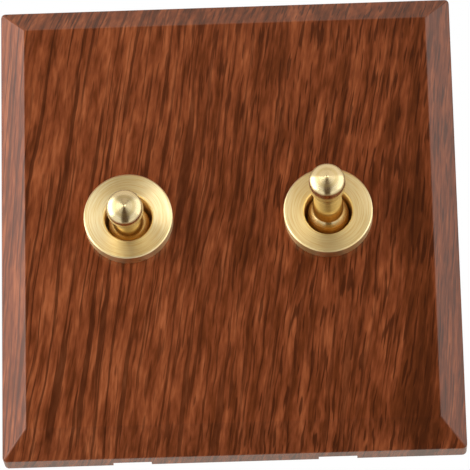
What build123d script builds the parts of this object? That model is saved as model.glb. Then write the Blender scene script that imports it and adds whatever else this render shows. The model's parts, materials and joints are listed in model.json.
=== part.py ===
from build123d import *
from math import atan2, cos, radians, sin, sqrt, tan
import os

os.makedirs("parts", exist_ok=True)

# A two-gang toggle light switch, upright as it hangs on a wall: +X right, +Z up, front towards -Y.
# The origin is the middle of the two wall-box fixing slots, on the wall face.
# Heights named "level" are distances out from the wall, so a level of 9 lies at y = -9.

# Fascia
panel_width = 86.0
panel_height = 89.0
panel_drop = 0.3
rim_height = 4.6
bevel_depth = 4.4
bevel_side = 4.7
bevel_end = 5.1
shell_wall = 2.2
panel_corner = 0.9
edge_round = 0.45
notch_width = 7.15
notch_height = 1.6
notch_spacing = 38.2
hook_width = 8.0
hook_thickness = 1.3
hook_nose = 1.0
hook_nose_height = 1.1

# Toggle positions and collars
gang_spacing = 37.4
collar_diameter = 16.6
collar_height = 3.0
collar_bore = 9.0
collar_dish = 0.7
collar_lip = 1.0
collar_chamfer = 0.22
spigot_wall = 1.15
spigot_length = 2.0

# Bush, its nut and its washer
thread_diameter = 12.0
flange_diameter = 14.8
flange_thickness = 1.4
washer_diameter = 15.0
washer_thickness = 0.6
nut_across_flats = 14.0
nut_thickness = 2.6
nut_chamfer = 0.35
pin_recess = 0.15

# Lever, from its pivot out to the tip and back to the tail's end
pivot_depth = 7.6
pin_diameter = 1.8
half_throw = 6.2
lever_length = 20.3
head_diameter = 6.8
cone_diameter = 3.5
cone_height = 0.4
head_crown = 3.1
crown_fullness = 2.0
head_band = 0.3
head_height = 5.4
head_undercut = 0.3
dimple_diameter = 0.6
dimple_depth = 0.2
neck_diameter = 3.9
stem_belly = 0.17
stem_diameter = 5.86
stem_foot = 6.3
bead_diameter = 7.8
ball_diameter = 8.6
tail_diameter = 6.0
tail_length = 11.0

# Plunger and spring in the tail
plunger_diameter = 3.2
plunger_engagement = 3.4
spring_roof = 2.6
spring_wire = 0.5
spring_turns = 4.5

# Rocker and contacts
fulcrum_depth = 16.4
rocker_tilt = 8.0
rocker_thickness = 1.0
rocker_width = 5.0
rocker_reach = 10.4
saddle_reach = 3.2
saddle_height = 1.1
trunnion_diameter = 1.2
contact_reach = 9.0
contact_diameter = 3.0
contact_height = 0.7
contact_crown = 4.0

# Case, cover and terminals
case_width = 15.0
case_corner = 0.8
case_wall = 1.3
case_floor = 2.5
cover_thickness = 0.8
fold_round = 0.5
lug_width = 7.0
lug_length = 8.0
catch_width = 3.6
catch_height = 2.2
catch_drop = 3.6
strip_thickness = 0.8
strip_width = 6.4
ear_thickness = 0.8
ear_depth = 3.6
ear_gap = 0.3
trunnion_overhang = 0.5
barrier_thickness = 1.2
barrier_height = 4.2
terminal_pitch = 9.9
clamp_size = 6.2
clamp_corner = 0.7
clamp_thickness = 0.8
clamp_margin = 0.2
screw_diameter = 3.0
screw_head_diameter = 5.4
screw_head_height = 1.8
screw_head_chamfer = 0.4
screw_reach = 1.8
screw_slot_width = 0.7
screw_slot_depth = 0.8

# Mounting frame
frame_gap = 2.4
frame_corner = 3.0
frame_base = 2.4
frame_wall = 1.8
frame_wall_level = 5.0
frame_rib = 1.4
frame_rib_level = 4.4
frame_rib_offset = 20.0
pocket_depth = 0.6
fixing_spacing = 60.3
fixing_width = 4.4
fixing_length = 6.0

# Clearances, each per side
snap_clearance = 0.25
seat_clearance = 0.1
thread_clearance = 0.05
running_clearance = 0.05
stop_clearance = 0.1
contact_clearance = 0.08
saddle_clearance = 0.15

# Levels and sizes that follow from the values above
panel_level = rim_height + bevel_depth
collar_level = panel_level + collar_height
dish_level = collar_level - collar_dish
lip_level = dish_level - collar_lip
pivot_level = collar_level - pivot_depth
fulcrum_level = pivot_level - fulcrum_depth
thread_radius = thread_diameter / 2
bore_radius = collar_bore / 2
spigot_radius = thread_radius + spigot_wall
bush_top = lip_level - seat_clearance
cover_base = pocket_depth - cover_thickness
bush_base = cover_base - flange_thickness
washer_top = frame_base + washer_thickness
throw_angle = radians(half_throw)
tilt_angle = radians(rocker_tilt)

# The fascia's cavity keeps the shell's wall under the bevels too
side_slope = atan2(bevel_depth, bevel_side)
end_slope = atan2(bevel_depth, bevel_end)
cavity_rim = rim_height - shell_wall * tan((radians(90) - side_slope) / 2)
cavity_side = bevel_side + shell_wall * tan(side_slope / 2)
cavity_end = bevel_end + shell_wall * tan(end_slope / 2)

# The frame fills the fascia's rim, and its windows take the noses of the fascia's hooks
frame_width = panel_width - 2 * (shell_wall + frame_gap)
frame_height = panel_height - 2 * (shell_wall + frame_gap)
tray_width = frame_width - 2 * frame_wall
tray_height = frame_height - 2 * frame_wall
hook_root = panel_level - 1.5 * shell_wall
hook_face = frame_height / 2 + snap_clearance
nose_level = frame_base + hook_nose_height
window_width = hook_width + 2 * snap_clearance
window_level = nose_level + snap_clearance

# Lever head: its cone runs on into a round crown, and ends in a small centre dimple
head_radius = head_diameter / 2
cone_slope = 2 * cone_height / cone_diameter
dimple_edge = lever_length - cone_slope * dimple_diameter / 2
crown_height = lever_length - head_crown
neck_top = lever_length - head_height

# Lever: the pivot ball, the bead above it and the tail below meet where their radii agree
bead_radius = bead_diameter / 2
ball_radius = ball_diameter / 2
tail_radius = tail_diameter / 2
bead_centre = stem_foot - sqrt(bead_radius**2 - (stem_diameter / 2) ** 2)
waist_height = (ball_radius**2 - bead_radius**2 + bead_centre**2) / (2 * bead_centre)
waist_radius = sqrt(ball_radius**2 - waist_height**2)
tail_top = -sqrt(ball_radius**2 - tail_radius**2)
stop_radius = (pivot_level - bush_base) * tan(throw_angle) + tail_radius / cos(throw_angle) + stop_clearance

# Plunger tip: its path over the swinging rocker gives the rocker's hollow saddle
tip_radius = plunger_diameter / 2
tip_rise = rocker_thickness / 2 + saddle_clearance + tip_radius
tip_reach = fulcrum_depth - tip_rise
tip_across = tip_reach * sin(throw_angle)
tip_above = fulcrum_depth - tip_reach * cos(throw_angle)
tip_along = tip_across * cos(tilt_angle) - tip_above * sin(tilt_angle)
tip_lift = tip_across * sin(tilt_angle) + tip_above * cos(tilt_angle) - tip_rise
saddle_path = (tip_along**2 + tip_lift**2) / (2 * tip_lift)
saddle_radius = saddle_path + tip_radius + saddle_clearance
plunger_bore = tip_radius + running_clearance
plunger_top = plunger_engagement - tail_length
spring_radius = tip_radius - spring_wire / 2 - running_clearance
spring_base = plunger_top + spring_wire / 2 + running_clearance
spring_height = -spring_roof - spring_base - spring_wire / 2 - running_clearance

# The closed contact meets the crown of the fixed contact below it, a small gap apart
contact_radius = contact_diameter / 2
contact_drop = rocker_thickness / 2 + contact_height + contact_clearance + contact_crown
crown_centre = fulcrum_level - (contact_drop + contact_reach * sin(tilt_angle)) / cos(tilt_angle)
crown_top = crown_centre + contact_crown
crown_edge = crown_centre + sqrt(contact_crown**2 - contact_radius**2)
strip_top = crown_edge - contact_height / 2
floor_level = strip_top - strip_thickness
back_level = floor_level - case_floor
tab_level = back_level - strip_thickness
clamp_level = tab_level - clamp_thickness

# Terminals: each tab carries one clamp, and its leg passes the case's floor beside it
tab_half = clamp_size / 2 + clamp_margin
leg_near = terminal_pitch + tab_half
leg_far = leg_near + strip_thickness
slot_width = strip_width + 2 * seat_clearance
slot_height = strip_thickness + 2 * seat_clearance
ear_near = rocker_width / 2 + ear_gap
ear_far = ear_near + ear_thickness
trunnion_radius = trunnion_diameter / 2
case_half_width = case_width / 2 - case_wall
case_half_length = leg_far + seat_clearance
case_length = 2 * (case_half_length + case_wall)
lug_face = case_length / 2 + seat_clearance
cover_length = 2 * (lug_face + cover_thickness)
screw_radius = screw_diameter / 2


# Fascia: a moulded shell with a flat face, four mitred bevels and a plain rim
with BuildPart() as fascia:
    middle = (0, 0, -panel_drop)
    fascia_plane = Plane(origin=middle, x_dir=(1, 0, 0), z_dir=(0, -1, 0))
    with BuildSketch(fascia_plane):
        RectangleRounded(panel_width, panel_height, panel_corner)
    extrude(amount=panel_level)
    across_plane = Plane(origin=middle, x_dir=(1, 0, 0), z_dir=(0, 0, -1))
    upright_plane = Plane(origin=middle, x_dir=(0, 0, 1), z_dir=(1, 0, 0))
    for section, reach, run, bevel in (
        (across_plane, panel_width / 2, panel_height / 2, bevel_side),
        (upright_plane, panel_height / 2, panel_width / 2, bevel_end),
    ):
        with BuildSketch(section):
            with BuildLine():
                Polyline(
                    (reach, rim_height),
                    (reach, panel_level),
                    (reach - bevel, panel_level),
                    close=True,
                )
            make_face()
            mirror(about=Plane.YZ)
        extrude(amount=run, both=True, mode=Mode.SUBTRACT)
    front_edges = fascia.edges().filter_by(lambda edge: edge.center().Y < -rim_height / 4)
    fillet(front_edges.filter_by(Axis.Y, reverse=True), edge_round)
    # The hollow behind it, open to the wall
    with BuildSketch(fascia_plane):
        Rectangle(panel_width - 2 * shell_wall, panel_height - 2 * shell_wall)
    extrude(amount=cavity_rim, mode=Mode.SUBTRACT)
    with BuildSketch(fascia_plane.offset(cavity_rim)):
        Rectangle(panel_width - 2 * shell_wall, panel_height - 2 * shell_wall)
    with BuildSketch(fascia_plane.offset(panel_level - shell_wall)):
        Rectangle(panel_width - 2 * cavity_side, panel_height - 2 * cavity_end)
    loft(ruled=True, mode=Mode.SUBTRACT)
    # Holes for the collars' spigots
    with BuildSketch(Plane.XZ.offset(panel_level)):
        with GridLocations(gang_spacing, 0, 2, 1):
            Circle(spigot_radius + seat_clearance)
    extrude(amount=-2 * shell_wall, mode=Mode.SUBTRACT)
    # Pry notches in the lower back edge
    with BuildSketch(fascia_plane):
        with Locations((0, (shell_wall - panel_height) / 2)):
            with GridLocations(notch_spacing, 0, 2, 1):
                Rectangle(notch_width, 2 * shell_wall)
    extrude(amount=notch_height, mode=Mode.SUBTRACT)
    # Snap hooks, two above and two below
    for hook_x in (-notch_spacing / 2, notch_spacing / 2):
        for side in (1, -1):
            with BuildSketch(Plane.YZ.offset(hook_x)):
                with BuildLine():
                    Polyline(
                        (-hook_root, side * hook_face),
                        (-nose_level, side * hook_face),
                        (-nose_level, side * (hook_face - hook_nose)),
                        (-frame_base, side * hook_face),
                        (-frame_base, side * (hook_face + hook_thickness)),
                        (-hook_root, side * (hook_face + hook_thickness)),
                        close=True,
                    )
                make_face()
            extrude(amount=hook_width / 2, both=True)
fascia.part.label = "fascia_panel"
export_step(fascia.part, "parts/fascia_panel.step")


# Mounting frame: a moulded tray behind the fascia, screwed to the wall box through two slots
with BuildPart() as frame:
    with BuildSketch(Plane.XZ):
        RectangleRounded(frame_width, frame_height, frame_corner)
    extrude(amount=frame_wall_level)
    with BuildSketch(Plane.XZ.offset(frame_base)):
        RectangleRounded(tray_width, tray_height, frame_corner - frame_wall)
    extrude(amount=frame_wall_level, mode=Mode.SUBTRACT)
    with BuildSketch(Plane.XZ.offset(frame_base)):
        with GridLocations(0, 2 * frame_rib_offset, 1, 2):
            Rectangle(tray_width + frame_wall, frame_rib)
        Rectangle(frame_rib, tray_height + frame_wall)
    extrude(amount=frame_rib_level - frame_base)
    # Windows for the hooks' noses
    with BuildSketch(Plane.XZ.offset(frame_base)):
        with GridLocations(notch_spacing, frame_height, 2, 2):
            Rectangle(window_width, 2 * frame_wall)
    extrude(amount=window_level - frame_base, mode=Mode.SUBTRACT)
    # Pockets that keep the two switches square, and a hole in each for the bush
    with BuildSketch(Plane.XZ):
        with GridLocations(gang_spacing, 0, 2, 1):
            Rectangle(case_width + 2 * seat_clearance, cover_length + 2 * seat_clearance)
    extrude(amount=pocket_depth, mode=Mode.SUBTRACT)
    with BuildSketch(Plane.XZ):
        with GridLocations(gang_spacing, 0, 2, 1):
            Circle(thread_radius + seat_clearance)
        with GridLocations(fixing_spacing, 0, 2, 1):
            SlotOverall(fixing_length, fixing_width)
    extrude(amount=frame_base, mode=Mode.SUBTRACT)
frame.part.label = "mounting_frame"
export_step(frame.part, "parts/mounting_frame.step")


# Each gang: the left lever points down, the right one up
for side, gang_x, up in (("left", -gang_spacing / 2, -1), ("right", gang_spacing / 2, 1)):
    wall_plane = Plane(origin=(gang_x, 0, 0), x_dir=(1, 0, 0), z_dir=(0, -1, 0))
    gang_axis = Axis((gang_x, 0, 0), (0, -1, 0))
    turning_plane = Plane(origin=(gang_x, 0, 0), x_dir=(1, 0, 0), z_dir=(0, 0, -1))
    side_plane = Plane.YZ.offset(gang_x)

    # Collar: a turned brass ring nut whose spigot centres the fascia, with a dished face
    with BuildPart() as collar:
        with BuildSketch(turning_plane):
            with BuildLine():
                Polyline(
                    (thread_radius + thread_clearance, panel_level - spigot_length),
                    (spigot_radius, panel_level - spigot_length),
                    (spigot_radius, panel_level),
                    (collar_diameter / 2, panel_level),
                    (collar_diameter / 2, collar_level - collar_chamfer),
                    (collar_diameter / 2 - collar_chamfer, collar_level),
                    (bore_radius + collar_chamfer, dish_level),
                    (bore_radius, dish_level - collar_chamfer),
                    (bore_radius, lip_level),
                    (thread_radius + thread_clearance, lip_level),
                    close=True,
                )
            make_face()
        revolve(axis=gang_axis)
    collar.part.label = f"collar_{side}"
    export_step(collar.part, f"parts/collar_{side}.step")

    # Bush: a threaded sleeve, cross-drilled for the pivot pin, whose flange has two flats
    with BuildPart() as bush:
        with BuildSketch(turning_plane):
            with BuildLine():
                Polyline(
                    (bore_radius, bush_top),
                    (thread_radius, bush_top),
                    (thread_radius, cover_base),
                    (flange_diameter / 2, cover_base),
                    (flange_diameter / 2, bush_base),
                    (stop_radius, bush_base),
                    (stop_radius, cover_base),
                    (bore_radius, cover_base),
                    close=True,
                )
            make_face()
        revolve(axis=gang_axis)
        with BuildSketch(wall_plane.offset(bush_base)):
            Rectangle(2 * flange_diameter, flange_diameter)
            Rectangle(2 * (case_half_width - seat_clearance), flange_diameter, mode=Mode.SUBTRACT)
        extrude(amount=flange_thickness, mode=Mode.SUBTRACT)
        with BuildSketch(side_plane):
            with Locations((-pivot_level, 0)):
                Circle(pin_diameter / 2)
        extrude(amount=thread_radius, both=True, mode=Mode.SUBTRACT)
    bush.part.label = f"bush_{side}"
    export_step(bush.part, f"parts/bush_{side}.step")

    # Pivot pin: a plain pin across the bush, kept in by the nut round it
    with BuildPart() as pin:
        with BuildSketch(side_plane):
            with Locations((-pivot_level, 0)):
                Circle(pin_diameter / 2)
        extrude(amount=thread_radius - pin_recess, both=True)
    pin.part.label = f"pivot_pin_{side}"
    export_step(pin.part, f"parts/pivot_pin_{side}.step")

    # Lock washer and thin lock nut that hold the switch to the frame
    with BuildPart() as washer:
        with BuildSketch(wall_plane.offset(frame_base)):
            Circle(washer_diameter / 2)
            Circle(thread_radius + thread_clearance, mode=Mode.SUBTRACT)
        extrude(amount=washer_thickness)
    washer.part.label = f"lock_washer_{side}"
    export_step(washer.part, f"parts/lock_washer_{side}.step")

    with BuildPart() as nut:
        with BuildSketch(wall_plane.offset(washer_top)):
            RegularPolygon(nut_across_flats / 2, 6, major_radius=False, rotation=30)
        extrude(amount=nut_thickness)
        chamfer(nut.faces().sort_by(Axis.Y)[0].edges(), nut_chamfer)
        with BuildSketch(wall_plane.offset(washer_top)):
            Circle(thread_radius + thread_clearance)
        extrude(amount=nut_thickness, mode=Mode.SUBTRACT)
    nut.part.label = f"lock_nut_{side}"
    export_step(nut.part, f"parts/lock_nut_{side}.step")

    # Lever: turned in one piece, with a pointed head, a barrel stem, a bead, the pivot ball and a bored tail
    pivot = (gang_x, -pivot_level, 0)
    lever_plane = Plane(origin=pivot, x_dir=(1, 0, 0), z_dir=(0, -up * sin(throw_angle), -cos(throw_angle)))
    lever_axis = Axis(pivot, lever_plane.y_dir)
    with BuildPart() as lever:
        with BuildSketch(lever_plane):
            with BuildLine():
                Polyline(
                    (0, -spring_roof),
                    (0, dimple_edge - dimple_depth),
                    (dimple_diameter / 2, dimple_edge),
                    (cone_diameter / 2, lever_length - cone_height),
                )
                Bezier(
                    (cone_diameter / 2, lever_length - cone_height),
                    (head_radius, lever_length - cone_slope * head_radius),
                    (head_radius, crown_height),
                    weights=(1, crown_fullness, 1),
                )
                Line((head_radius, crown_height), (head_radius, crown_height - head_band))
                Bezier(
                    (head_radius, crown_height - head_band),
                    (head_radius, neck_top + head_undercut),
                    (neck_diameter / 2, neck_top),
                )
                ThreePointArc(
                    (neck_diameter / 2, neck_top),
                    ((neck_diameter + stem_diameter) / 4 + stem_belly, (neck_top + stem_foot) / 2),
                    (stem_diameter / 2, stem_foot),
                )
                ThreePointArc(
                    (stem_diameter / 2, stem_foot),
                    (bead_radius, bead_centre),
                    (waist_radius, waist_height),
                )
                ThreePointArc((waist_radius, waist_height), (ball_radius, 0), (tail_radius, tail_top))
                Polyline(
                    (tail_radius, tail_top),
                    (tail_radius, -tail_length),
                    (plunger_bore, -tail_length),
                    (plunger_bore, -spring_roof),
                    (0, -spring_roof),
                )
            make_face()
        revolve(axis=lever_axis)
        with BuildSketch(side_plane):
            with Locations((-pivot_level, 0)):
                Circle(pin_diameter / 2 + running_clearance)
        extrude(amount=ball_radius, both=True, mode=Mode.SUBTRACT)
    lever.part.label = f"lever_{side}"
    export_step(lever.part, f"parts/lever_{side}.step")

    # Plunger: a round-nosed pin that slides in the tail and presses on the rocker
    with BuildPart() as plunger:
        with BuildSketch(lever_plane):
            with BuildLine():
                Polyline(
                    (0, -tip_reach - tip_radius),
                    (0, plunger_top),
                    (tip_radius, plunger_top),
                    (tip_radius, -tip_reach),
                )
                ThreePointArc(
                    (tip_radius, -tip_reach),
                    (tip_radius * sin(radians(45)), -tip_reach - tip_radius * cos(radians(45))),
                    (0, -tip_reach - tip_radius),
                )
            make_face()
        revolve(axis=lever_axis)
    plunger.part.label = f"plunger_{side}"
    export_step(plunger.part, f"parts/plunger_{side}.step")

    # Plunger spring: a compression coil between the bore's roof and the plunger
    with BuildPart() as spring:
        coil_start = lever_plane.from_local_coords((0, spring_base, 0))
        with BuildLine() as coil:
            Helix(spring_height / spring_turns, spring_height, spring_radius, coil_start, lever_plane.y_dir)
        with BuildSketch(Plane(coil.line @ 0, z_dir=coil.line % 0)):
            RegularPolygon(spring_wire / 2, 8)
        sweep(path=coil.line)
    spring.part.label = f"plunger_spring_{side}"
    export_step(spring.part, f"parts/plunger_spring_{side}.step")

    # Rocker: a contact strip on trunnions, with a hollow saddle and two contact buttons
    fulcrum = (gang_x, -fulcrum_level, 0)
    strip_way = (0, -up * sin(tilt_angle), cos(tilt_angle))
    rocker_plane = Plane(origin=fulcrum, x_dir=strip_way, z_dir=(1, 0, 0))
    button_plane = Plane(origin=fulcrum, x_dir=(1, 0, 0), z_dir=rocker_plane.y_dir)
    with BuildPart() as rocker:
        with BuildSketch(rocker_plane):
            Rectangle(2 * rocker_reach, rocker_thickness)
            with Locations((0, (rocker_thickness + saddle_height) / 2)):
                Rectangle(2 * saddle_reach, saddle_height)
            with Locations((0, rocker_thickness / 2 + saddle_radius)):
                Circle(saddle_radius, mode=Mode.SUBTRACT)
        extrude(amount=rocker_width / 2, both=True)
        with BuildSketch(rocker_plane):
            Circle(trunnion_radius)
        extrude(amount=ear_far + trunnion_overhang, both=True)
        with BuildSketch(button_plane.offset(-rocker_thickness / 2)):
            with GridLocations(0, 2 * contact_reach, 1, 2):
                Circle(contact_radius)
        extrude(amount=-contact_height)
    rocker.part.label = f"rocker_{side}"
    export_step(rocker.part, f"parts/rocker_{side}.step")

    # Switch case: a moulded box, open in front, with slots for the terminals and barriers behind
    with BuildPart() as case:
        with BuildSketch(wall_plane.offset(back_level)):
            RectangleRounded(case_width, case_length, case_corner)
        extrude(amount=cover_base - back_level)
        with BuildSketch(wall_plane.offset(floor_level)):
            Rectangle(2 * case_half_width, 2 * case_half_length)
        extrude(amount=cover_base - floor_level, mode=Mode.SUBTRACT)
        with BuildSketch(wall_plane.offset(back_level)):
            with Locations(
                (0, (leg_near + leg_far) / 2),
                (0, -(leg_near + leg_far) / 2),
                (0, -(tab_half + strip_thickness / 2)),
            ):
                Rectangle(slot_width, slot_height)
        extrude(amount=case_floor, mode=Mode.SUBTRACT)
        with BuildSketch(wall_plane.offset(back_level)):
            with GridLocations(0, terminal_pitch, 1, 3):
                Circle(screw_radius + seat_clearance)
        extrude(amount=screw_reach + seat_clearance, mode=Mode.SUBTRACT)
        with BuildSketch(wall_plane.offset(back_level)):
            with GridLocations(0, terminal_pitch, 1, 2):
                Rectangle(case_width, barrier_thickness)
        extrude(amount=-barrier_height)
        # Wedge catches on both ends for the cover's lugs
        for end in (1, -1):
            with BuildSketch(side_plane):
                with BuildLine():
                    Polyline(
                        (catch_drop - cover_base, end * case_length / 2),
                        (catch_drop + catch_height - cover_base, end * case_length / 2),
                        (catch_drop + catch_height - cover_base, end * (lug_face + cover_thickness)),
                        close=True,
                    )
                make_face()
            extrude(amount=catch_width / 2, both=True)
    case.part.label = f"switch_case_{side}"
    export_step(case.part, f"parts/switch_case_{side}.step")

    # Switch cover: sheet folded over the case's ends, each lug snapped on a catch
    with BuildPart() as cover:
        with BuildSketch(wall_plane.offset(cover_base)):
            Rectangle(case_width, cover_length)
        extrude(amount=cover_thickness)
        with BuildSketch(wall_plane.offset(cover_base)):
            with GridLocations(0, cover_length - cover_thickness, 1, 2):
                Rectangle(lug_width, cover_thickness)
        extrude(amount=-lug_length)
        with BuildSketch(wall_plane.offset(cover_base)):
            Circle(thread_radius + seat_clearance)
        extrude(amount=cover_thickness, mode=Mode.SUBTRACT)
        with BuildSketch(wall_plane.offset(cover_base - catch_drop + seat_clearance)):
            with GridLocations(0, cover_length, 1, 2):
                Rectangle(catch_width + 2 * seat_clearance, 4 * cover_thickness)
        extrude(amount=-(catch_height + 2 * seat_clearance), mode=Mode.SUBTRACT)
        fillet(cover.edges().filter_by(Axis.X).group_by(Axis.Y)[0].group_by(Axis.Z)[0], fold_round)
        fillet(cover.edges().filter_by(Axis.X).group_by(Axis.Y)[0].group_by(Axis.Z)[-1], fold_round)
    cover.part.label = f"switch_cover_{side}"
    export_step(cover.part, f"parts/switch_cover_{side}.step")

    # Common terminal: a strip whose two notched ears carry the rocker's trunnions
    with BuildPart() as common:
        with BuildSketch(side_plane):
            with BuildLine():
                Polyline(
                    (-strip_top, ear_depth / 2),
                    (-strip_top, -tab_half - strip_thickness),
                    (-tab_level, -tab_half - strip_thickness),
                    (-tab_level, tab_half),
                    (-back_level, tab_half),
                    (-back_level, -tab_half),
                    (-floor_level, -tab_half),
                    (-floor_level, ear_depth / 2),
                    close=True,
                )
            make_face()
        extrude(amount=strip_width / 2, both=True)
        for ear in (1, -1):
            ear_plane = Plane.YZ.offset(gang_x + ear * (ear_near + ear_far) / 2)
            with BuildSketch(ear_plane):
                with Locations((-(fulcrum_level + floor_level) / 2, 0)):
                    Rectangle(fulcrum_level - floor_level, ear_depth)
                with Locations((-fulcrum_level, 0)):
                    Circle(trunnion_radius + running_clearance, mode=Mode.SUBTRACT)
            extrude(amount=ear_thickness / 2, both=True)
        with BuildSketch(wall_plane.offset(tab_level)):
            Circle(screw_radius + thread_clearance)
        extrude(amount=strip_thickness, mode=Mode.SUBTRACT)
    common.part.label = f"common_terminal_{side}"
    export_step(common.part, f"parts/common_terminal_{side}.step")

    # Upper and lower terminals: a strip round the case's floor, with a crowned contact inside
    for name, way in (("upper", 1), ("lower", -1)):
        with BuildPart() as terminal:
            with BuildSketch(side_plane):
                with BuildLine():
                    Polyline(
                        (-strip_top, way * (contact_reach - strip_width / 2)),
                        (-strip_top, way * leg_far),
                        (-tab_level, way * leg_far),
                        (-tab_level, way * (terminal_pitch - tab_half)),
                        (-back_level, way * (terminal_pitch - tab_half)),
                        (-back_level, way * leg_near),
                        (-floor_level, way * leg_near),
                        (-floor_level, way * (contact_reach - strip_width / 2)),
                        close=True,
                    )
                make_face()
            extrude(amount=strip_width / 2, both=True)
            contact_base = (gang_x, 0, way * contact_reach)
            with BuildSketch(Plane(origin=contact_base, x_dir=(1, 0, 0), z_dir=(0, 0, -1))):
                with BuildLine():
                    Polyline(
                        (0, crown_top),
                        (0, strip_top),
                        (contact_radius, strip_top),
                        (contact_radius, crown_edge),
                    )
                    RadiusArc((contact_radius, crown_edge), (0, crown_top), -contact_crown)
                make_face()
            revolve(axis=Axis(contact_base, (0, -1, 0)))
            with BuildSketch(wall_plane.offset(tab_level)):
                with Locations((0, way * terminal_pitch)):
                    Circle(screw_radius + thread_clearance)
            extrude(amount=strip_thickness, mode=Mode.SUBTRACT)
        terminal.part.label = f"{name}_terminal_{side}"
        export_step(terminal.part, f"parts/{name}_terminal_{side}.step")

    # Clamp plates and terminal screws, three of each
    with BuildPart() as clamps:
        with BuildSketch(wall_plane.offset(tab_level)):
            with GridLocations(0, terminal_pitch, 1, 3):
                RectangleRounded(clamp_size, clamp_size, clamp_corner)
                Circle(screw_radius + seat_clearance, mode=Mode.SUBTRACT)
        extrude(amount=-clamp_thickness)
    clamps.part.label = f"clamp_plates_{side}"
    export_step(clamps.part, f"parts/clamp_plates_{side}.step")

    with BuildPart() as screws:
        with BuildSketch(wall_plane.offset(clamp_level)):
            with GridLocations(0, terminal_pitch, 1, 3):
                Circle(screw_head_diameter / 2)
        extrude(amount=-screw_head_height)
        chamfer(screws.faces().sort_by(Axis.Y)[-3:].edges(), screw_head_chamfer)
        with BuildSketch(wall_plane.offset(clamp_level)):
            with GridLocations(0, terminal_pitch, 1, 3):
                Circle(screw_radius)
        extrude(amount=clamp_thickness + strip_thickness + screw_reach)
        with BuildSketch(wall_plane.offset(clamp_level - screw_head_height)):
            with GridLocations(0, terminal_pitch, 1, 3):
                Rectangle(screw_head_diameter, screw_slot_width)
        extrude(amount=screw_slot_depth, mode=Mode.SUBTRACT)
    screws.part.label = f"terminal_screws_{side}"
    export_step(screws.part, f"parts/terminal_screws_{side}.step")
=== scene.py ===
import json
import math

import bmesh
import bpy
from mathutils import Matrix, Vector


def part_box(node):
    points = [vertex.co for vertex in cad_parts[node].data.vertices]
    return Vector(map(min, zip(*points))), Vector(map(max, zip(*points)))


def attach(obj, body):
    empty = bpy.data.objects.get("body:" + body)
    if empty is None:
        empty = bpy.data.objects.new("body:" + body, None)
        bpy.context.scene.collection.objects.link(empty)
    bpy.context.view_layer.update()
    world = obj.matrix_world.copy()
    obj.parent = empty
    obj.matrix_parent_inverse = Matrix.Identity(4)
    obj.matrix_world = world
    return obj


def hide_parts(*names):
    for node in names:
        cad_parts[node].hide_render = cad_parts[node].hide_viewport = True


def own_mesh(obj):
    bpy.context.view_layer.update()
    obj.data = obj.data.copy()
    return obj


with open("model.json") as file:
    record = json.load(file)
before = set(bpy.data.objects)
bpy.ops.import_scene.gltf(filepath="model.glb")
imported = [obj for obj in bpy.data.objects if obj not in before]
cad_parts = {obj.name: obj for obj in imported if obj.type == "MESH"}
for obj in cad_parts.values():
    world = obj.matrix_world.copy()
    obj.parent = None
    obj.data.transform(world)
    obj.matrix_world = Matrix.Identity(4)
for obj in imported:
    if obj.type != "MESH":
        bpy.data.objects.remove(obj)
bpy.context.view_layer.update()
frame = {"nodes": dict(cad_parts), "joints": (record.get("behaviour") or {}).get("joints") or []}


# Switch cases: two boxes behind the plate, pressed from black phenolic resin.
# The filler in the resin gives a dull, faintly speckled skin, a little uneven from the mould.
mm = 0.001


def linear(hex_colour):
    """An sRGB hex colour as linear red, green and blue, with full alpha."""
    parts = [int(hex_colour[i : i + 2], 16) / 255 for i in (1, 3, 5)]
    return [c / 12.92 if c <= 0.04045 else ((c + 0.055) / 1.055) ** 2.4 for c in parts] + [1.0]


def add(tree, kind, inputs=None, **settings):
    """Adds a node, sets its properties, and links or sets its inputs."""
    made = tree.nodes.new(kind)
    for name, value in settings.items():
        setattr(made, name, value)
    for socket, value in (inputs or {}).items():
        if isinstance(value, bpy.types.NodeSocket):
            tree.links.new(value, made.inputs[socket])
        else:
            made.inputs[socket].default_value = value
    return made


def surface(name):
    """A new material with an empty node tree."""
    material = bpy.data.materials.new(name)
    material.use_nodes = True
    material.node_tree.nodes.clear()
    return material, material.node_tree


def shade(ramp, *stops):
    """Sets a colour ramp to stops of position and hex colour."""
    while len(ramp.color_ramp.elements) < len(stops):
        ramp.color_ramp.elements.new(1.0)
    for element, (position, colour) in zip(ramp.color_ramp.elements, stops):
        element.position = position
        element.color = linear(colour)


def dress(material, *names):
    """Gives CAD nodes a material. A name stands for itself, or for its left and right pieces."""
    for name in names:
        for node in (name, f"{name}_left", f"{name}_right"):
            if node in frame["nodes"]:
                for slot in frame["nodes"][node].material_slots:
                    slot.material = material


def moulded(name, deep, pale, grit, roughness, ior):
    """A moulded plastic whose colour runs from deep to pale in specks of grit's size."""
    material, tree = surface(name)
    place = add(tree, "ShaderNodeTexCoord")
    specks = add(
        tree,
        "ShaderNodeTexNoise",
        {"Vector": place.outputs["Object"], "Scale": 1 / grit, "Detail": 3},
    ).outputs["Fac"]
    tint = add(tree, "ShaderNodeValToRGB", {"Fac": specks})
    shade(tint, (0.35, deep), (0.7, pale))
    skin = add(tree, "ShaderNodeBump", {"Height": specks, "Strength": 0.3, "Distance": grit / 20})
    shader = add(
        tree,
        "ShaderNodeBsdfPrincipled",
        {
            "Base Color": tint.outputs["Color"],
            "Roughness": roughness,
            "IOR": ior,
            "Normal": skin.outputs["Normal"],
        },
    )
    add(tree, "ShaderNodeOutputMaterial", {"Surface": shader.outputs["BSDF"]})
    return material


resin = moulded("phenolic_resin", deep="#1B1918", pale="#33302D", grit=0.3 * mm, roughness=0.42, ior=1.6)
dress(resin, "switch_case")


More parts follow.
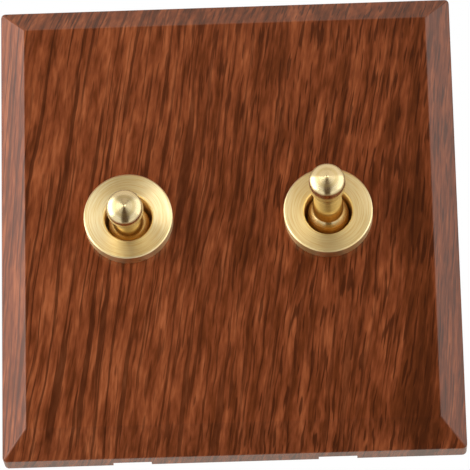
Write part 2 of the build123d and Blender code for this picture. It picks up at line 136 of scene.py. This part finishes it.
# Terminals and rockers: strips punched and folded from contact brass, left bare.
# Rolling leaves the sheet soft-bright, with dull patches where it has begun to tarnish.
def metal(name, dull, bright, patch, smooth, worn, bare=1.0):
    """A metal that runs from dull to bright in patches, and from worn to smooth in roughness.

    Only the share given by bare is metal, and the rest scatters light like a matt coat.
    """
    dull_below = 0.3
    bright_above = 0.65
    material, tree = surface(name)
    place = add(tree, "ShaderNodeTexCoord")
    patches = add(
        tree,
        "ShaderNodeTexNoise",
        {"Vector": place.outputs["Object"], "Scale": 1 / patch, "Detail": 5},
    ).outputs["Fac"]
    tint = add(tree, "ShaderNodeValToRGB", {"Fac": patches})
    shade(tint, (dull_below, dull), (bright_above, bright))
    polish = add(
        tree,
        "ShaderNodeMapRange",
        {
            "Value": patches,
            "From Min": dull_below,
            "From Max": bright_above,
            "To Min": worn,
            "To Max": smooth,
        },
    )
    shader = add(
        tree,
        "ShaderNodeBsdfPrincipled",
        {"Base Color": tint.outputs["Color"], "Metallic": bare, "Roughness": polish.outputs["Result"]},
    )
    add(tree, "ShaderNodeOutputMaterial", {"Surface": shader.outputs["BSDF"]})
    return material


strip = metal("rolled_brass", dull="#B08A48", bright="#E3C27C", patch=2.5 * mm, smooth=0.28, worn=0.45)
dress(strip, "common_terminal", "upper_terminal", "lower_terminal", "rocker")


# Clamp plates, terminal screws and lock washers: punched and turned steel with a bright zinc coat.
# Zinc gives a cool grey with a slight blue cast and a satin sheen.
zinc = metal("zinc_plated_steel", dull="#9FA4AA", bright="#CFD3D8", patch=1.5 * mm, smooth=0.25, worn=0.4)
dress(zinc, "clamp_plates", "lock_washer", "terminal_screws")


# Plungers and pivot pins: round-nosed pins moulded in nylon, and ground steel pins through the bushes.
# A plunger slides in its lever's bored tail and presses on the rocker.
# Nylon looks milky, and grinding leaves the steel bright.
nylon = moulded("nylon", deep="#D8D2C0", pale="#EFEADB", grit=0.4 * mm, roughness=0.4, ior=1.53)
dress(nylon, "plunger")
pin_steel = metal("ground_steel", dull="#9A9DA1", bright="#C9CCD0", patch=0.8 * mm, smooth=0.15, worn=0.3)
dress(pin_steel, "pivot_pin")


# Plunger springs: coiled cold from hard-drawn steel wire, with the grey sheen that drawing leaves.
# Each sits between the roof of the lever's bore and the plunger.
spring_wire = 0.5 * mm
wire_sides = 12
sharp_bend = math.radians(50)
coil_radius = 1.3 * mm
coil_turns = 4.5
turn_steps = 28
# Depths behind the pivot: the bore's roof, and the wire's middle at the coil's two ends
coil_top = 2.9 * mm
coil_foot = 7.3 * mm

spring_steel = metal(
    "drawn_spring_steel", dull="#5E5F62", bright="#8E9094", patch=0.8 * mm, smooth=0.25, worn=0.4
)
joints = {joint["child"]: joint for joint in frame["joints"]}
for side in ("left", "right"):
    slide = joints[f"{side}_plunger"]
    pivot = Vector(joints[f"{side}_lever"]["pos_m"])
    along = Vector(slide["axis"])
    sideways = Vector((1, 0, 0))
    section = Matrix((sideways, along, sideways.cross(along))).transposed().to_4x4()
    section.translation = pivot - coil_foot * along + coil_radius * sideways
    steps = int(coil_turns * turn_steps)
    shape = bmesh.new()
    bmesh.ops.create_circle(shape, segments=wire_sides, radius=spring_wire / 2, matrix=section)
    bmesh.ops.spin(
        shape,
        geom=shape.verts[:] + shape.edges[:],
        cent=pivot,
        axis=along,
        dvec=(coil_foot - coil_top) / steps * along,
        angle=math.tau * coil_turns,
        steps=steps,
    )
    bmesh.ops.holes_fill(shape, edges=[edge for edge in shape.edges if edge.is_boundary])
    bmesh.ops.recalc_face_normals(shape, faces=shape.faces)
    mesh = bpy.data.meshes.new(f"coiled_spring_{side}")
    shape.to_mesh(mesh)
    shape.free()
    mesh.shade_smooth()
    mesh.set_sharp_from_angle(angle=sharp_bend)
    mesh.materials.append(spring_steel)
    spring = bpy.data.objects.new(f"coiled_spring_{side}", mesh)
    bpy.context.scene.collection.objects.link(spring)
    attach(spring, f"{side}_lever")
    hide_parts(f"plunger_spring_{side}")
    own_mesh(spring)


# Bushes and lock nuts: threaded brass sleeves turned from bar, and thin hexagon nuts in nickel plate.
# The sleeves' brass is painted a deep orange-yellow, a painted reflection that stands in for light
# bounced round the bore, and is mostly matt so that it scatters light in the bore.
bore_glow_painted = metal(
    "bore_glow_painted_brass", dull="#EBA645", bright="#FCCB72", patch=1.2 * mm, smooth=0.42, worn=0.55, bare=0.15
)
dress(bore_glow_painted, "bush")
nickel = metal(
    "nickel_plated_brass", dull="#A9A596", bright="#D6D1C2", patch=2 * mm, smooth=0.18, worn=0.32
)
dress(nickel, "lock_nut")


# Switch covers: zinc-coated sheet steel folded over each case, with lugs that hook on its wedge catches.
# The sheet shows the faint clouding of a dipped coat.
sheet_zinc = metal(
    "zinc_plated_sheet", dull="#A3A7AB", bright="#D2D5D8", patch=3 * mm, smooth=0.3, worn=0.48
)
dress(sheet_zinc, "switch_cover")


# Mounting frame: a tray moulded in off-white polycarbonate, screwed to the wall box.
# The mould is lightly spark-eroded, so the plastic has a fine even grain.
tray = moulded("polycarbonate", deep="#CBC8BF", pale="#DEDCD4", grit=0.25 * mm, roughness=0.5, ior=1.58)
dress(tray, "mounting_frame")


# Fascia: a moulded plate wrapped in a printed wood-grain film under a clear satin lacquer.
# The print is a reddish hardwood with dark, slender pores that lean to the right as they rise.
panel_low, panel_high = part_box("fascia_panel")
panel_depth = panel_high.y - panel_low.y
grain_lean = math.radians(8.5)
wave_size = (16 * mm, 1.0, 45 * mm)
wave_height = 2.2 * mm
fibre_size = (0.55 * mm, 1.0, 3.5 * mm)
streak_size = (1.8 * mm, 1.0, 13 * mm)
streak_share = 0.6
band_size = (7 * mm, 1.0, 70 * mm)
band_share = 0.15

wood_film, tree = surface("lacquered_wood_grain_film")
place = add(tree, "ShaderNodeTexCoord")
# The film wraps the bevels and the rim, so the print runs on round them from the face
depth = add(tree, "ShaderNodeSeparateXYZ", {"Vector": place.outputs["Object"]}).outputs["Y"]
depth = add(tree, "ShaderNodeMath", {0: depth, 1: panel_depth}, operation="ADD").outputs[0]
spread = add(
    tree,
    "ShaderNodeVectorMath",
    {0: place.outputs["Normal"], "Scale": depth},
    operation="SCALE",
)
flat = add(
    tree,
    "ShaderNodeVectorMath",
    {0: place.outputs["Object"], 1: spread.outputs[0]},
    operation="ADD",
)
turned = add(
    tree,
    "ShaderNodeMapping",
    {"Vector": flat.outputs[0], "Rotation": (0, grain_lean, 0)},
    vector_type="TEXTURE",
)
wave_place = add(
    tree, "ShaderNodeMapping", {"Vector": turned.outputs[0], "Scale": wave_size}, vector_type="TEXTURE"
)
wave = add(tree, "ShaderNodeTexNoise", {"Vector": wave_place.outputs[0], "Scale": 1.0, "Detail": 4})
sway = add(tree, "ShaderNodeMath", {0: wave.outputs["Fac"], 1: 2 * wave_height}, operation="MULTIPLY")
sway = add(tree, "ShaderNodeCombineXYZ", {"X": sway.outputs[0]})
grain = add(tree, "ShaderNodeVectorMath", {0: turned.outputs[0], 1: sway.outputs[0]}, operation="ADD")


def streaks(size, detail, shift):
    """Noise drawn out along the grain in streaks of that size, shifted so that no two sets agree."""
    drawn = add(
        tree,
        "ShaderNodeMapping",
        {"Vector": grain.outputs[0], "Scale": size, "Location": (shift, 0, shift)},
        vector_type="TEXTURE",
    )
    noise = {"Vector": drawn.outputs[0], "Scale": 1.0, "Detail": detail, "Roughness": 0.5}
    return add(tree, "ShaderNodeTexNoise", noise).outputs["Fac"]


tone = add(
    tree,
    "ShaderNodeMix",
    {
        "Factor": streak_share,
        "A": streaks(fibre_size, detail=2, shift=0.17),
        "B": streaks(streak_size, detail=2, shift=0.52),
    },
    data_type="FLOAT",
)
tone = add(
    tree,
    "ShaderNodeMix",
    {"Factor": band_share, "A": tone.outputs[0], "B": streaks(band_size, detail=2, shift=0.31)},
    data_type="FLOAT",
)
# The right of the sheet is a shade deeper, with a dark heart near its edge that grows towards the foot
left_tone = 0.03
right_tone = -0.008
heart_place = 37 * mm
heart_core = 1 * mm
heart_edge = 5 * mm
foot_height = -40 * mm
foot_tone = -0.13
head_height = 40 * mm
head_tone = -0.04
sheet = add(tree, "ShaderNodeVectorMath", {0: flat.outputs[0], 1: sway.outputs[0]}, operation="ADD")
sheet = add(tree, "ShaderNodeSeparateXYZ", {"Vector": sheet.outputs[0]})
across = sheet.outputs["X"]
fade = add(
    tree,
    "ShaderNodeMapRange",
    {
        "Value": across,
        "From Min": -10 * mm,
        "From Max": -3 * mm,
        "To Min": left_tone,
        "To Max": right_tone,
    },
    interpolation_type="SMOOTHSTEP",
)
heart_depth = add(
    tree,
    "ShaderNodeMapRange",
    {
        "Value": sheet.outputs["Z"],
        "From Min": foot_height,
        "From Max": head_height,
        "To Min": foot_tone,
        "To Max": head_tone,
    },
)
heart = add(tree, "ShaderNodeMath", {0: across, 1: heart_place}, operation="SUBTRACT")
heart = add(tree, "ShaderNodeMath", {0: heart.outputs[0]}, operation="ABSOLUTE")
heart = add(
    tree,
    "ShaderNodeMapRange",
    {
        "Value": heart.outputs[0],
        "From Min": heart_core,
        "From Max": heart_edge,
        "To Min": heart_depth.outputs[0],
        "To Max": 0.0,
    },
    interpolation_type="SMOOTHSTEP",
)
fade = add(tree, "ShaderNodeMath", {0: fade.outputs[0], 1: heart.outputs[0]}, operation="ADD")
tone = add(tree, "ShaderNodeMath", {0: tone.outputs[0], 1: fade.outputs[0]}, operation="ADD")
tint = add(tree, "ShaderNodeValToRGB", {"Fac": tone.outputs[0]})
shade(tint, (0.34, "#56270F"), (0.44, "#6C3317"), (0.5, "#7E3E20"), (0.56, "#8E4927"), (0.66, "#AA5E37"))
# Dark lines run long on the left of the sheet, and short dashes take over towards the right.
# Each is dark where its noise is below the core's value, and fades out towards the edge's
line_size = (0.8 * mm, 1.0, 42 * mm)
line_edge = 0.46
line_core = 0.395
dash_size = (0.62 * mm, 1.0, 8 * mm)
dash_edge = 0.445
dash_core = 0.365
change = {"Value": across, "From Min": -22 * mm, "From Max": 12 * mm}
line_share = add(tree, "ShaderNodeMapRange", change | {"To Min": 0.68, "To Max": 0.4})
dash_share = add(tree, "ShaderNodeMapRange", change | {"To Min": 0.38, "To Max": 0.72})
lined = add(
    tree,
    "ShaderNodeMapRange",
    {
        "Value": streaks(line_size, detail=1, shift=0.41),
        "From Min": line_edge,
        "From Max": line_core,
        "To Max": line_share.outputs[0],
    },
    interpolation_type="SMOOTHSTEP",
)
dashed = add(
    tree,
    "ShaderNodeMapRange",
    {
        "Value": streaks(dash_size, detail=1, shift=0.73),
        "From Min": dash_edge,
        "From Max": dash_core,
        "To Max": dash_share.outputs[0],
    },
    interpolation_type="SMOOTHSTEP",
)
dark = add(tree, "ShaderNodeMath", {0: lined.outputs[0], 1: dashed.outputs[0]}, operation="MAXIMUM")
inked = add(
    tree,
    "ShaderNodeMix",
    {"Factor": dark.outputs[0], "A": tint.outputs["Color"], "B": linear("#361506")},
    data_type="RGBA",
)
# The film covers what faces forward and the rim, the outer 3% of the plate, and ends on its back edge.
# Inside the shell the bare black plastic shows
rim_share = 0.97
front_tilt = -0.3
panel_half = (panel_high - panel_low) / 2
panel_middle = (panel_high + panel_low) / 2
inside = add(
    tree,
    "ShaderNodeMapping",
    {"Vector": place.outputs["Object"], "Location": panel_middle, "Scale": panel_half},
    vector_type="TEXTURE",
)
inside = add(tree, "ShaderNodeVectorMath", {0: inside.outputs[0]}, operation="ABSOLUTE")
inside = add(tree, "ShaderNodeSeparateXYZ", {"Vector": inside.outputs[0]})
rim = add(tree, "ShaderNodeMath", {0: inside.outputs["X"], 1: inside.outputs["Z"]}, operation="MAXIMUM")
rim = add(tree, "ShaderNodeMath", {0: rim.outputs[0], 1: rim_share}, operation="GREATER_THAN")
facing = add(tree, "ShaderNodeSeparateXYZ", {"Vector": place.outputs["Normal"]})
facing = add(tree, "ShaderNodeMath", {0: facing.outputs["Y"], 1: front_tilt}, operation="LESS_THAN")
filmed = add(tree, "ShaderNodeMath", {0: rim.outputs[0], 1: facing.outputs[0]}, operation="MAXIMUM")
skin = add(
    tree,
    "ShaderNodeMix",
    {"Factor": filmed.outputs[0], "A": linear("#232324"), "B": inked.outputs["Result"]},
    data_type="RGBA",
)
# The lacquer is faintly amber, which warms its sheen on the bevels
shader = add(
    tree,
    "ShaderNodeBsdfPrincipled",
    {
        "Base Color": skin.outputs["Result"],
        "Roughness": 0.16,
        "IOR": 1.5,
        "Specular Tint": linear("#FFE5D6"),
    },
)
add(tree, "ShaderNodeOutputMaterial", {"Surface": shader.outputs["BSDF"]})
dress(wood_film, "fascia_panel")


# Collars: ring nuts turned from brass bar, screwed down on the fascia.
# The tool leaves fine rings on the dished face, so light spreads across them towards the edge.
dish_depth = 0.7 * mm
bore_radius = 4.5 * mm
edge_break = 0.22 * mm
lip_depth = 1.0 * mm
thread_radius = 6.05 * mm
spigot_radius = 7.15 * mm
seat_height = 2.0 * mm
turning_pitch = 0.3 * mm
turning_depth = 0.012 * mm
turning_steps = 160
sharp_bend = math.radians(25)
weld_gap = 0.001 * mm
ring_size = (0.16 * mm, 5 * mm, 5 * mm)
face_roughness = (0.56, 0.46)
wall_roughness = 0.34
# The broken edge slopes at 45 degrees, and its normal points this far along Y
edge_facing = -0.707
edge_margin = 0.1
# A quarter turn spreads the light across the tool's rings, and no turn spreads it along them
across_rings = 0.25
along_rings = 0.0

satin_brass, tree = surface("satin_turned_brass")
around = add(tree, "ShaderNodeTangent", direction_type="RADIAL", axis="Y")
# Rings of the tool's scratches round each collar's own axis, broken into arcs
low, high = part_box("collar_right")
gang = (low + high) / 2
place = add(tree, "ShaderNodeTexCoord")
spot = add(tree, "ShaderNodeSeparateXYZ", {"Vector": place.outputs["Object"]})
aside = add(tree, "ShaderNodeMath", {0: spot.outputs["X"]}, operation="ABSOLUTE")
aside = add(tree, "ShaderNodeMath", {0: aside.outputs[0], 1: gang.x}, operation="SUBTRACT")
aside = add(tree, "ShaderNodeCombineXYZ", {"X": aside.outputs[0], "Z": spot.outputs["Z"]})
radius = add(tree, "ShaderNodeVectorMath", {0: aside.outputs[0]}, operation="LENGTH")
ring = add(
    tree,
    "ShaderNodeCombineXYZ",
    {"X": radius.outputs["Value"], "Y": spot.outputs["X"], "Z": spot.outputs["Z"]},
)
ring = add(
    tree, "ShaderNodeMapping", {"Vector": ring.outputs[0], "Scale": ring_size}, vector_type="TEXTURE"
)
ring = add(tree, "ShaderNodeTexNoise", {"Vector": ring.outputs[0], "Scale": 1.0, "Detail": 3})
ring = ring.outputs["Fac"]
tint = add(tree, "ShaderNodeValToRGB", {"Fac": ring})
shade(tint, (0.35, "#F2D696"), (0.62, "#FFEEBE"))
satin = add(
    tree,
    "ShaderNodeMapRange",
    {
        "Value": ring,
        "From Min": 0.35,
        "From Max": 0.65,
        "To Min": face_roughness[0],
        "To Max": face_roughness[1],
    },
)
# The outer wall is cut smoother than the face, so it mirrors the wood
facing = add(tree, "ShaderNodeSeparateXYZ", {"Vector": place.outputs["Normal"]}).outputs["Y"]
on_face = add(tree, "ShaderNodeMapRange", {"Value": facing, "From Min": -0.75, "From Max": -0.9})
satin = add(
    tree,
    "ShaderNodeMix",
    {"Factor": on_face.outputs[0], "A": wall_roughness, "B": satin.outputs[0]},
    data_type="FLOAT",
)
# The broken edge is rubbed round with a stone, so it gathers light from both sides in a bright line
edge = add(tree, "ShaderNodeMath", {0: facing, 1: edge_facing, 2: edge_margin}, operation="COMPARE")
spread = add(
    tree,
    "ShaderNodeMapRange",
    {"Value": edge.outputs[0], "To Min": across_rings, "To Max": along_rings},
)
shader = add(
    tree,
    "ShaderNodeBsdfPrincipled",
    {
        "Base Color": tint.outputs["Color"],
        "Metallic": 1.0,
        "Roughness": satin.outputs[0],
        "Anisotropic": 0.8,
        "Anisotropic Rotation": spread.outputs[0],
        "Tangent": around.outputs["Tangent"],
    },
)
add(tree, "ShaderNodeOutputMaterial", {"Surface": shader.outputs["BSDF"]})

for side in ("left", "right"):
    low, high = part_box(f"collar_{side}")
    middle = (low + high) / 2
    rim = (high.x - low.x) / 2
    front = low.y
    face_start = rim - edge_break
    face_end = bore_radius + edge_break
    # Radius and place along Y, from the spigot round the rim and over the dish into the bore
    profile = [
        (thread_radius, high.y),
        (spigot_radius, high.y),
        (spigot_radius, high.y - seat_height),
        (rim, high.y - seat_height),
        (rim, front + edge_break),
        (face_start, front),
    ]
    rings = int((face_start - face_end) / turning_pitch)
    for step in range(1, 2 * rings):
        share = step / (2 * rings)
        groove = turning_depth if step % 2 else 0
        reach = face_start + share * (face_end - face_start)
        profile.append((reach, front + share * dish_depth + groove))
    profile += [
        (face_end, front + dish_depth),
        (bore_radius, front + dish_depth + edge_break),
        (bore_radius, front + dish_depth + lip_depth),
        (thread_radius, front + dish_depth + lip_depth),
    ]
    shape = bmesh.new()
    points = [shape.verts.new((middle.x + radius, y, middle.z)) for radius, y in profile]
    lines = [shape.edges.new(pair) for pair in zip(points, points[1:] + points[:1])]
    bmesh.ops.spin(
        shape,
        geom=points + lines,
        cent=middle,
        axis=(0, 1, 0),
        angle=math.tau,
        steps=turning_steps,
        use_merge=True,
    )
    bmesh.ops.remove_doubles(shape, verts=shape.verts, dist=weld_gap)
    bmesh.ops.recalc_face_normals(shape, faces=shape.faces)
    mesh = bpy.data.meshes.new(f"turned_collar_{side}")
    shape.to_mesh(mesh)
    shape.free()
    mesh.shade_smooth()
    mesh.set_sharp_from_angle(angle=sharp_bend)
    mesh.materials.append(satin_brass)
    collar = bpy.data.objects.new(f"turned_collar_{side}", mesh)
    bpy.context.scene.collection.objects.link(collar)
    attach(collar, "switch_body")
    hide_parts(f"collar_{side}")


# Levers: turned from brass bar in one piece and polished, with a pointed head and a bead at the foot.
# Faint rings of the lathe draw the light out along the stem and up to the tip in soft wedges.
lathe_pitch = 0.3 * mm
stem_roughness = 0.11
crown_roughness = 0.27
ring_roughness = 0.02

for side in ("left", "right"):
    polished_brass, tree = surface(f"polished_brass_{side}")
    place = add(tree, "ShaderNodeTexCoord")
    # The plunger slides in the lever, so its axis is the lathe's
    pivot = joints[f"{side}_lever"]["pos_m"]
    along = joints[f"{side}_plunger"]["axis"]
    arm = add(tree, "ShaderNodeVectorMath", {0: place.outputs["Object"], 1: pivot}, operation="SUBTRACT")
    around = add(tree, "ShaderNodeVectorMath", {0: along, 1: arm.outputs[0]}, operation="CROSS_PRODUCT")
    around = add(
        tree,
        "ShaderNodeVectorTransform",
        {"Vector": around.outputs[0]},
        vector_type="VECTOR",
        convert_from="OBJECT",
        convert_to="WORLD",
    )
    # The lathe's rings are too fine to show singly, so they are drawn coarser, one every lathe_pitch
    height = add(tree, "ShaderNodeVectorMath", {0: arm.outputs[0], 1: along}, operation="DOT_PRODUCT")
    ring = add(
        tree,
        "ShaderNodeTexNoise",
        {"W": height.outputs["Value"], "Scale": 1 / lathe_pitch, "Detail": 2},
        noise_dimensions="1D",
    ).outputs["Fac"]
    tint = add(tree, "ShaderNodeValToRGB", {"Fac": ring})
    shade(tint, (0.35, "#E5CE96"), (0.65, "#F3E0B2"))
    polish = add(
        tree,
        "ShaderNodeMapRange",
        {
            "Value": ring,
            "From Min": 0.35,
            "From Max": 0.65,
            "To Min": ring_roughness,
            "To Max": -ring_roughness,
        },
    )
    # Facing leaves the crown rougher than the polished stem
    facing = add(
        tree,
        "ShaderNodeVectorMath",
        {0: place.outputs["Normal"], 1: along},
        operation="DOT_PRODUCT",
    )
    crown = add(
        tree,
        "ShaderNodeMapRange",
        {
            "Value": facing.outputs["Value"],
            "From Min": 0.15,
            "From Max": 0.4,
            "To Min": stem_roughness,
            "To Max": crown_roughness,
        },
    )
    polish = add(tree, "ShaderNodeMath", {0: polish.outputs[0], 1: crown.outputs[0]}, operation="ADD")
    shader = add(
        tree,
        "ShaderNodeBsdfPrincipled",
        {
            "Base Color": tint.outputs["Color"],
            "Metallic": 1.0,
            "Roughness": polish.outputs[0],
            "Anisotropic": 0.95,
            "Anisotropic Rotation": across_rings,
            "Tangent": around.outputs[0],
        },
    )
    add(tree, "ShaderNodeOutputMaterial", {"Surface": shader.outputs["BSDF"]})
    dress(polished_brass, f"lever_{side}")


# Studio: a pale floor well below the plate, two tall soft lights at its sides and a dim room in front.
# The camera looks up at the plate from below, as the photograph does.
floor_height = -0.6
floor_half = 4.0
light_width = 0.9
light_height = 1.0

shape = bmesh.new()
bmesh.ops.create_grid(shape, x_segments=1, y_segments=1, size=floor_half)
bmesh.ops.translate(shape, verts=shape.verts, vec=(0, 0, floor_height))
mesh = bpy.data.meshes.new("studio_floor")
shape.to_mesh(mesh)
shape.free()
floor = bpy.data.objects.new("studio_floor", mesh)
bpy.context.scene.collection.objects.link(floor)
floor.visible_glossy = False
floor_paint, tree = surface("matt_white_paint")
shader = add(tree, "ShaderNodeBsdfPrincipled", {"Base Color": linear("#F4F4F2"), "Roughness": 0.9})
add(tree, "ShaderNodeOutputMaterial", {"Surface": shader.outputs["BSDF"]})
mesh.materials.append(floor_paint)

for name, stand, watts in (
    ("left_soft_light", (-0.80, -0.40, 0.10), 7.4),
    ("right_soft_light", (0.80, -0.40, 0.10), 2.5),
):
    lamp = bpy.data.lights.new(name, "AREA")
    lamp.shape = "RECTANGLE"
    lamp.size = light_width
    lamp.size_y = light_height
    lamp.energy = watts
    light = bpy.data.objects.new(name, lamp)
    light.location = stand
    light.rotation_euler = (-light.location).to_track_quat("-Z", "Y").to_euler()
    light.visible_camera = False
    bpy.context.scene.collection.objects.link(light)

# The room's edges below are parts of a direction of length 1, across (X), forward (-Y) or up (Z)
room_glow = 0.5
side_white = linear("#FFFFFF")
gap_brown = linear("#554538")
ceiling_cream = linear("#F3E9DF")
ceiling_slope = -0.4
wall_low_cream = linear("#D1C8BC")
wall_high_cream = linear("#BFB6AB")
world = bpy.data.worlds.new("white_studio")
bpy.context.scene.world = world
world.use_nodes = True
tree = world.node_tree
tree.nodes.clear()
ray = add(tree, "ShaderNodeLightPath")
way = add(tree, "ShaderNodeTexCoord")
way = add(tree, "ShaderNodeSeparateXYZ", {"Vector": way.outputs["Generated"]})
# Metal mirrors the room: white sides, a dark warm gap in front round the camera, a cream ceiling
# that rises towards the sides, and a cream wall behind
aside = add(tree, "ShaderNodeMath", {0: way.outputs["X"]}, operation="ABSOLUTE").outputs[0]
sides = add(
    tree,
    "ShaderNodeMapRange",
    {"Value": aside, "From Min": 0.18, "From Max": 0.32},
    interpolation_type="SMOOTHSTEP",
)
room = add(
    tree,
    "ShaderNodeMix",
    {"Factor": sides.outputs[0], "A": gap_brown, "B": side_white},
    data_type="RGBA",
)
lid = add(
    tree,
    "ShaderNodeMath",
    {0: aside, 1: ceiling_slope, 2: way.outputs["Z"]},
    operation="MULTIPLY_ADD",
)
lid = add(
    tree,
    "ShaderNodeMapRange",
    {"Value": lid.outputs[0], "From Min": 0.37, "From Max": 0.44},
    interpolation_type="SMOOTHSTEP",
)
room = add(
    tree,
    "ShaderNodeMix",
    {"Factor": lid.outputs[0], "A": room.outputs["Result"], "B": ceiling_cream},
    data_type="RGBA",
)
height = add(tree, "ShaderNodeMapRange", {"Value": way.outputs["Z"], "From Min": -0.3, "From Max": 0.6})
wall = add(
    tree,
    "ShaderNodeMix",
    {"Factor": height.outputs[0], "A": wall_low_cream, "B": wall_high_cream},
    data_type="RGBA",
)
back = add(tree, "ShaderNodeMapRange", {"Value": way.outputs["Y"], "From Min": 0.0, "From Max": 0.15})
room = add(
    tree,
    "ShaderNodeMix",
    {"Factor": back.outputs[0], "A": room.outputs["Result"], "B": wall.outputs["Result"]},
    data_type="RGBA",
)
# Matt surfaces get an even glow, and the camera sees white
room = add(
    tree,
    "ShaderNodeMix",
    {
        "Factor": ray.outputs["Is Glossy Ray"],
        "A": (room_glow, room_glow, room_glow, 1.0),
        "B": room.outputs["Result"],
    },
    data_type="RGBA",
)
seen = add(
    tree,
    "ShaderNodeMath",
    {0: ray.outputs["Is Camera Ray"], 1: ray.outputs["Is Transmission Ray"]},
    operation="MAXIMUM",
)
room = add(
    tree,
    "ShaderNodeMix",
    {"Factor": seen.outputs[0], "A": room.outputs["Result"], "B": linear("#FFFFFF")},
    data_type="RGBA",
)
sky = add(tree, "ShaderNodeBackground", {"Color": room.outputs["Result"], "Strength": 1.0})
add(tree, "ShaderNodeOutputWorld", {"Surface": sky.outputs["Background"]})

lens = bpy.data.cameras.new("photo_camera")
lens.sensor_width = 36.0
lens.lens = 297.57
lens.clip_start = 0.01
camera = bpy.data.objects.new("photo_camera", lens)
camera.location = (20.73 * mm, -698.60 * mm, -231.80 * mm)
camera.rotation_euler = [math.radians(turn) for turn in (108.322, 1.244, 2.039)]
bpy.context.scene.collection.objects.link(camera)
bpy.context.scene.camera = camera
bpy.context.scene.view_settings.view_transform = "Standard"
